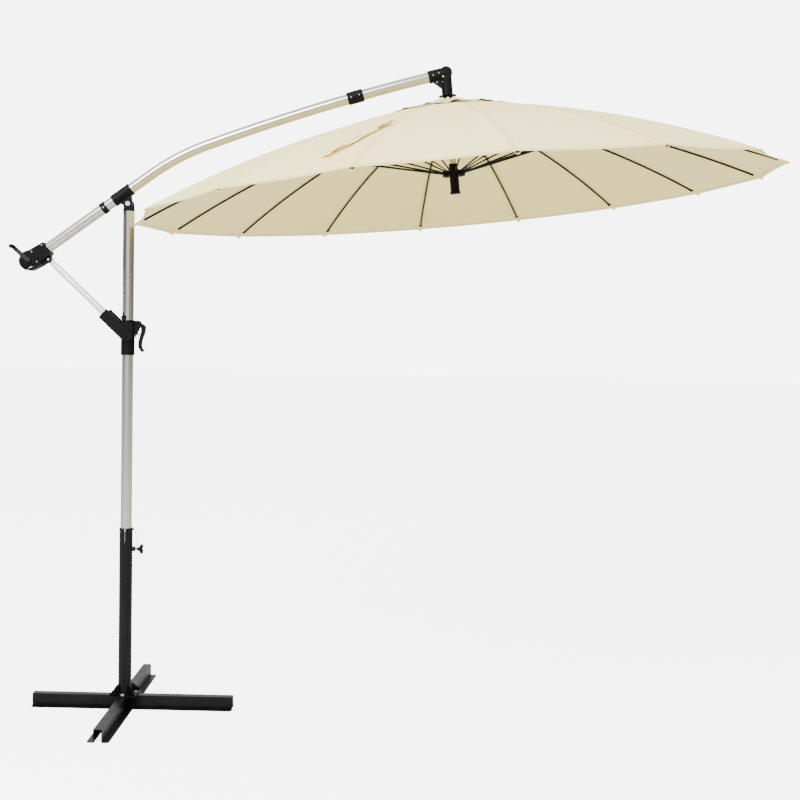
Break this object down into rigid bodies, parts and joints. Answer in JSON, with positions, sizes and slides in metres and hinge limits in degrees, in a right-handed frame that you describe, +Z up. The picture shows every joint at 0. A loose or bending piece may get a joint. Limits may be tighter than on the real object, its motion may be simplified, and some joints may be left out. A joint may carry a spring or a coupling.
{
  "type": "cantilever parasol",
  "caption": "Round cream parasol hung from a bent tubular boom on a swivelling mast, with a winding handle, a diagonal brace, folding ribs and a cross base.",
  "frame": {"origin": "on the ground under the centre of the cross base, on the mast's axis", "axes": "+X along the boom towards the canopy, +Y to the side away from the winding handle, +Z up"},
  "size_m": [3.2101, 2.6868, 2.7658],
  "materials": {
    "black_steel": "semi-gloss black powder coat",
    "bolt_steel": "zinc plated",
    "tube_aluminium": "satin anodised",
    "brace_aluminium": "pale satin anodised",
    "pale_plastic": "moulded",
    "cord": "braided",
    "canopy_cloth": "plain woven, cream",
    "rib_glassfibre": "dark glass fibre rod",
    "black_plastic": "moulded, satin black"
  },
  "bodies": {
    "base": {"base_rail_long": "black_steel", "base_rail_cross": "black_steel", "post": "black_steel", "base_bolts": "bolt_steel", "knob_tether": "bolt_steel"},
    "knob": {"lock_knob": "black_plastic"},
    "mast": {"mast_tube": "tube_aluminium", "mast_head": "black_plastic", "tee_pivot_bolt": "bolt_steel"},
    "sleeve": {"slide_sleeve": "black_plastic"},
    "lever": {"sleeve_lever": "black_plastic"},
    "boom": {"tee_clamp": "black_plastic", "boom_lower": "tube_aluminium", "boom_upper": "tube_aluminium", "boom_collars": "black_plastic", "elbow": "black_plastic", "crank_case_front": "black_plastic", "crank_case_back": "black_plastic", "centre_pole": "tube_aluminium", "crown_hub": "black_plastic", "lift_cord": "cord", "canopy": "canopy_cloth"},
    "brace": {"brace_tube": "brace_aluminium", "brace_yoke": "black_plastic"},
    "winder": {"rope_spool": "pale_plastic", "crank_handle": "tube_aluminium"},
    "pulley": {"elbow_pulley": "pale_plastic"},
    "runner": {"runner": "black_plastic"},
    "rib_01": {"rib_01": "rib_glassfibre"},
    "stretcher_01": {"stretcher_01": "rib_glassfibre"},
    "rib_02": {"rib_02": "rib_glassfibre"},
    "stretcher_02": {"stretcher_02": "rib_glassfibre"},
    "rib_03": {"rib_03": "rib_glassfibre"},
    "stretcher_03": {"stretcher_03": "rib_glassfibre"},
    "rib_04": {"rib_04": "rib_glassfibre"},
    "stretcher_04": {"stretcher_04": "rib_glassfibre"},
    "rib_05": {"rib_05": "rib_glassfibre"},
    "stretcher_05": {"stretcher_05": "rib_glassfibre"},
    "rib_06": {"rib_06": "rib_glassfibre"},
    "stretcher_06": {"stretcher_06": "rib_glassfibre"},
    "rib_07": {"rib_07": "rib_glassfibre"},
    "stretcher_07": {"stretcher_07": "rib_glassfibre"},
    "rib_08": {"rib_08": "rib_glassfibre"},
    "stretcher_08": {"stretcher_08": "rib_glassfibre"},
    "rib_09": {"rib_09": "rib_glassfibre"},
    "stretcher_09": {"stretcher_09": "rib_glassfibre"},
    "rib_10": {"rib_10": "rib_glassfibre"},
    "stretcher_10": {"stretcher_10": "rib_glassfibre"},
    "rib_11": {"rib_11": "rib_glassfibre"},
    "stretcher_11": {"stretcher_11": "rib_glassfibre"},
    "rib_12": {"rib_12": "rib_glassfibre"},
    "stretcher_12": {"stretcher_12": "rib_glassfibre"},
    "rib_13": {"rib_13": "rib_glassfibre"},
    "stretcher_13": {"stretcher_13": "rib_glassfibre"},
    "rib_14": {"rib_14": "rib_glassfibre"},
    "stretcher_14": {"stretcher_14": "rib_glassfibre"},
    "rib_15": {"rib_15": "rib_glassfibre"},
    "stretcher_15": {"stretcher_15": "rib_glassfibre"},
    "rib_16": {"rib_16": "rib_glassfibre"},
    "stretcher_16": {"stretcher_16": "rib_glassfibre"}
  },
  "joints": [
    {"name": "mast_swivel", "type": "hinge", "parent": "base", "child": "mast", "pos_m": [0, 0, 0.33], "axis": [0, 0, 1], "continuous": true},
    {"name": "knob_turn", "type": "hinge", "parent": "base", "child": "knob", "pos_m": [0.05, 0, 0.69], "axis": [1, 0, 0], "range_deg": [0, 540]},
    {"name": "boom_tilt", "type": "hinge", "parent": "mast", "child": "boom", "pos_m": [0, 0, 2.164], "axis": [0, 1, 0], "range_deg": [-22, 8]},
    {"name": "sleeve_slide", "type": "slide", "parent": "mast", "child": "sleeve", "axis": [0, 0, 1], "range_m": [-0.22, 0.08]},
    {"name": "brace_pivot", "type": "hinge", "parent": "boom", "child": "brace", "pos_m": [-0.33772, 0, 1.92275], "axis": [0, 1, 0], "range_deg": [-16, 42]},
    {"name": "lever_hinge", "type": "hinge", "parent": "sleeve", "child": "lever", "pos_m": [0.043, 0, 1.659], "axis": [0, 1, 0], "range_deg": [-110, 0]},
    {"name": "canopy_fold", "type": "slide", "parent": "boom", "child": "runner", "axis": [0.1054, 0, -0.9944], "range_m": [0, 0.8933], "deforming": ["canopy", "lift_cord"]},
    {"name": "winder_turn", "type": "hinge", "parent": "boom", "child": "winder", "pos_m": [-0.41679, 0, 1.91553], "axis": [0, 1, 0], "range_deg": [-10, 3666]},
    {"name": "pulley_turn", "type": "hinge", "parent": "boom", "child": "pulley", "pos_m": [1.31703, 0, 2.72166], "axis": [0, 1, 0], "range_deg": [-10, 3112]},
    {"name": "rib_hinge_01", "type": "hinge", "parent": "boom", "child": "rib_01", "pos_m": [1.30873, -0.00346, 2.60236], "axis": [0.0982, -0.9951, 0.0104], "range_deg": [-0.5, 67]},
    {"name": "stretcher_hinge_01", "type": "hinge", "parent": "rib_01", "child": "stretcher_01", "pos_m": [0.74817, -0.06093, 2.39936], "axis": [0.0982, -0.9951, 0.0104], "range_deg": [-134, 1]},
    {"name": "rib_hinge_02", "type": "hinge", "parent": "boom", "child": "rib_02", "pos_m": [1.31268, -0.01652, 2.60278], "axis": [0.4695, -0.8816, 0.0498], "range_deg": [-0.5, 67]},
    {"name": "stretcher_hinge_02", "type": "hinge", "parent": "rib_02", "child": "stretcher_02", "pos_m": [0.81781, -0.29113, 2.40674], "axis": [0.4695, -0.8816, 0.0498], "range_deg": [-134, 1]},
    {"name": "rib_hinge_03", "type": "hinge", "parent": "boom", "child": "rib_03", "pos_m": [1.3213, -0.02707, 2.60369], "axis": [0.7692, -0.6338, 0.0815], "range_deg": [-0.5, 67]},
    {"name": "stretcher_hinge_03", "type": "hinge", "parent": "rib_03", "child": "stretcher_03", "pos_m": [0.96975, -0.477, 2.42284], "axis": [0.7692, -0.6338, 0.0815], "range_deg": [-134, 1]},
    {"name": "rib_hinge_04", "type": "hinge", "parent": "boom", "child": "rib_04", "pos_m": [1.33329, -0.0335, 2.60496], "axis": [0.9518, -0.2895, 0.1009], "range_deg": [-0.5, 67]},
    {"name": "stretcher_hinge_04", "type": "hinge", "parent": "rib_04", "child": "stretcher_04", "pos_m": [1.18086, -0.59026, 2.44522], "axis": [0.9518, -0.2895, 0.1009], "range_deg": [-134, 1]},
    {"name": "rib_hinge_05", "type": "hinge", "parent": "boom", "child": "rib_05", "pos_m": [1.3468, -0.03483, 2.6064], "axis": [0.9896, 0.0988, 0.1049], "range_deg": [-0.5, 67]},
    {"name": "stretcher_hinge_05", "type": "hinge", "parent": "rib_05", "child": "stretcher_05", "pos_m": [1.419, -0.61366, 2.47046], "axis": [0.9896, 0.0988, 0.1049], "range_deg": [-134, 1]},
    {"name": "rib_hinge_06", "type": "hinge", "parent": "boom", "child": "rib_06", "pos_m": [1.35979, -0.03085, 2.60777], "axis": [0.8766, 0.4721, 0.0929], "range_deg": [-0.5, 67]},
    {"name": "stretcher_hinge_06", "type": "hinge", "parent": "rib_06", "child": "stretcher_06", "pos_m": [1.64792, -0.54363, 2.49472], "axis": [0.8766, 0.4721, 0.0929], "range_deg": [-134, 1]},
    {"name": "rib_hinge_07", "type": "hinge", "parent": "boom", "child": "rib_07", "pos_m": [1.37028, -0.02218, 2.60888], "axis": [0.6303, 0.7735, 0.0668], "range_deg": [-0.5, 67]},
    {"name": "stretcher_hinge_07", "type": "hinge", "parent": "rib_07", "child": "stretcher_07", "pos_m": [1.83276, -0.39084, 2.51431], "axis": [0.6303, 0.7735, 0.0668], "range_deg": [-134, 1]},
    {"name": "rib_hinge_08", "type": "hinge", "parent": "boom", "child": "rib_08", "pos_m": [1.37668, -0.01013, 2.60956], "axis": [0.2879, 0.9572, 0.0305], "range_deg": [-0.5, 67]},
    {"name": "stretcher_hinge_08", "type": "hinge", "parent": "rib_08", "child": "stretcher_08", "pos_m": [1.94539, -0.17855, 2.52625], "axis": [0.2879, 0.9572, 0.0305], "range_deg": [-134, 1]},
    {"name": "rib_hinge_09", "type": "hinge", "parent": "boom", "child": "rib_09", "pos_m": [1.378, 0.00346, 2.6097], "axis": [-0.0982, 0.9951, -0.0104], "range_deg": [-0.5, 67]},
    {"name": "stretcher_hinge_09", "type": "hinge", "parent": "rib_09", "child": "stretcher_09", "pos_m": [1.96865, 0.06093, 2.52871], "axis": [-0.0982, 0.9951, -0.0104], "range_deg": [-134, 1]},
    {"name": "rib_hinge_10", "type": "hinge", "parent": "boom", "child": "rib_10", "pos_m": [1.37405, 0.01652, 2.60928], "axis": [-0.4695, 0.8816, -0.0498], "range_deg": [-0.5, 67]},
    {"name": "stretcher_hinge_10", "type": "hinge", "parent": "rib_10", "child": "stretcher_10", "pos_m": [1.89902, 0.29113, 2.52133], "axis": [-0.4695, 0.8816, -0.0498], "range_deg": [-134, 1]},
    {"name": "rib_hinge_11", "type": "hinge", "parent": "boom", "child": "rib_11", "pos_m": [1.36542, 0.02707, 2.60837], "axis": [-0.7692, 0.6338, -0.0815], "range_deg": [-0.5, 67]},
    {"name": "stretcher_hinge_11", "type": "hinge", "parent": "rib_11", "child": "stretcher_11", "pos_m": [1.74708, 0.477, 2.50523], "axis": [-0.7692, 0.6338, -0.0815], "range_deg": [-134, 1]},
    {"name": "rib_hinge_12", "type": "hinge", "parent": "boom", "child": "rib_12", "pos_m": [1.35344, 0.0335, 2.6071], "axis": [-0.9518, 0.2895, -0.1009], "range_deg": [-0.5, 67]},
    {"name": "stretcher_hinge_12", "type": "hinge", "parent": "rib_12", "child": "stretcher_12", "pos_m": [1.53597, 0.59026, 2.48285], "axis": [-0.9518, 0.2895, -0.1009], "range_deg": [-134, 1]},
    {"name": "rib_hinge_13", "type": "hinge", "parent": "boom", "child": "rib_13", "pos_m": [1.33993, 0.03483, 2.60567], "axis": [-0.9896, -0.0988, -0.1049], "range_deg": [-0.5, 67]},
    {"name": "stretcher_hinge_13", "type": "hinge", "parent": "rib_13", "child": "stretcher_13", "pos_m": [1.29783, 0.61366, 2.45761], "axis": [-0.9896, -0.0988, -0.1049], "range_deg": [-134, 1]},
    {"name": "rib_hinge_14", "type": "hinge", "parent": "boom", "child": "rib_14", "pos_m": [1.32693, 0.03085, 2.60429], "axis": [-0.8766, -0.4721, -0.0929], "range_deg": [-0.5, 67]},
    {"name": "stretcher_hinge_14", "type": "hinge", "parent": "rib_14", "child": "stretcher_14", "pos_m": [1.06891, 0.54363, 2.43335], "axis": [-0.8766, -0.4721, -0.0929], "range_deg": [-134, 1]},
    {"name": "rib_hinge_15", "type": "hinge", "parent": "boom", "child": "rib_15", "pos_m": [1.31644, 0.02218, 2.60318], "axis": [-0.6303, -0.7735, -0.0668], "range_deg": [-0.5, 67]},
    {"name": "stretcher_hinge_15", "type": "hinge", "parent": "rib_15", "child": "stretcher_15", "pos_m": [0.88407, 0.39084, 2.41376], "axis": [-0.6303, -0.7735, -0.0668], "range_deg": [-134, 1]},
    {"name": "rib_hinge_16", "type": "hinge", "parent": "boom", "child": "rib_16", "pos_m": [1.31005, 0.01013, 2.6025], "axis": [-0.2879, -0.9572, -0.0305], "range_deg": [-0.5, 67]},
    {"name": "stretcher_hinge_16", "type": "hinge", "parent": "rib_16", "child": "stretcher_16", "pos_m": [0.77144, 0.17855, 2.40182], "axis": [-0.2879, -0.9572, -0.0305], "range_deg": [-134, 1]}
  ],
  "couplings": [
    {"joint": "sleeve_slide", "follows": "boom_tilt", "m_per_rad": 0.548},
    {"joint": "brace_pivot", "follows": "boom_tilt", "ratio": -1.81},
    {"joint": "winder_turn", "follows": "canopy_fold", "rad_per_m": 71.429},
    {"joint": "pulley_turn", "follows": "canopy_fold", "rad_per_m": 60.606},
    {"joint": "rib_hinge_01", "follows": "canopy_fold", "rad_per_m": 1.2894},
    {"joint": "stretcher_hinge_01", "follows": "canopy_fold", "rad_per_m": -2.5789},
    {"joint": "rib_hinge_02", "follows": "canopy_fold", "rad_per_m": 1.2894},
    {"joint": "stretcher_hinge_02", "follows": "canopy_fold", "rad_per_m": -2.5789},
    {"joint": "rib_hinge_03", "follows": "canopy_fold", "rad_per_m": 1.2894},
    {"joint": "stretcher_hinge_03", "follows": "canopy_fold", "rad_per_m": -2.5789},
    {"joint": "rib_hinge_04", "follows": "canopy_fold", "rad_per_m": 1.2894},
    {"joint": "stretcher_hinge_04", "follows": "canopy_fold", "rad_per_m": -2.5789},
    {"joint": "rib_hinge_05", "follows": "canopy_fold", "rad_per_m": 1.2894},
    {"joint": "stretcher_hinge_05", "follows": "canopy_fold", "rad_per_m": -2.5789},
    {"joint": "rib_hinge_06", "follows": "canopy_fold", "rad_per_m": 1.2894},
    {"joint": "stretcher_hinge_06", "follows": "canopy_fold", "rad_per_m": -2.5789},
    {"joint": "rib_hinge_07", "follows": "canopy_fold", "rad_per_m": 1.2894},
    {"joint": "stretcher_hinge_07", "follows": "canopy_fold", "rad_per_m": -2.5789},
    {"joint": "rib_hinge_08", "follows": "canopy_fold", "rad_per_m": 1.2894},
    {"joint": "stretcher_hinge_08", "follows": "canopy_fold", "rad_per_m": -2.5789},
    {"joint": "rib_hinge_09", "follows": "canopy_fold", "rad_per_m": 1.2894},
    {"joint": "stretcher_hinge_09", "follows": "canopy_fold", "rad_per_m": -2.5789},
    {"joint": "rib_hinge_10", "follows": "canopy_fold", "rad_per_m": 1.2894},
    {"joint": "stretcher_hinge_10", "follows": "canopy_fold", "rad_per_m": -2.5789},
    {"joint": "rib_hinge_11", "follows": "canopy_fold", "rad_per_m": 1.2894},
    {"joint": "stretcher_hinge_11", "follows": "canopy_fold", "rad_per_m": -2.5789},
    {"joint": "rib_hinge_12", "follows": "canopy_fold", "rad_per_m": 1.2894},
    {"joint": "stretcher_hinge_12", "follows": "canopy_fold", "rad_per_m": -2.5789},
    {"joint": "rib_hinge_13", "follows": "canopy_fold", "rad_per_m": 1.2894},
    {"joint": "stretcher_hinge_13", "follows": "canopy_fold", "rad_per_m": -2.5789},
    {"joint": "rib_hinge_14", "follows": "canopy_fold", "rad_per_m": 1.2894},
    {"joint": "stretcher_hinge_14", "follows": "canopy_fold", "rad_per_m": -2.5789},
    {"joint": "rib_hinge_15", "follows": "canopy_fold", "rad_per_m": 1.2894},
    {"joint": "stretcher_hinge_15", "follows": "canopy_fold", "rad_per_m": -2.5789},
    {"joint": "rib_hinge_16", "follows": "canopy_fold", "rad_per_m": 1.2894},
    {"joint": "stretcher_hinge_16", "follows": "canopy_fold", "rad_per_m": -2.5789}
  ]
}
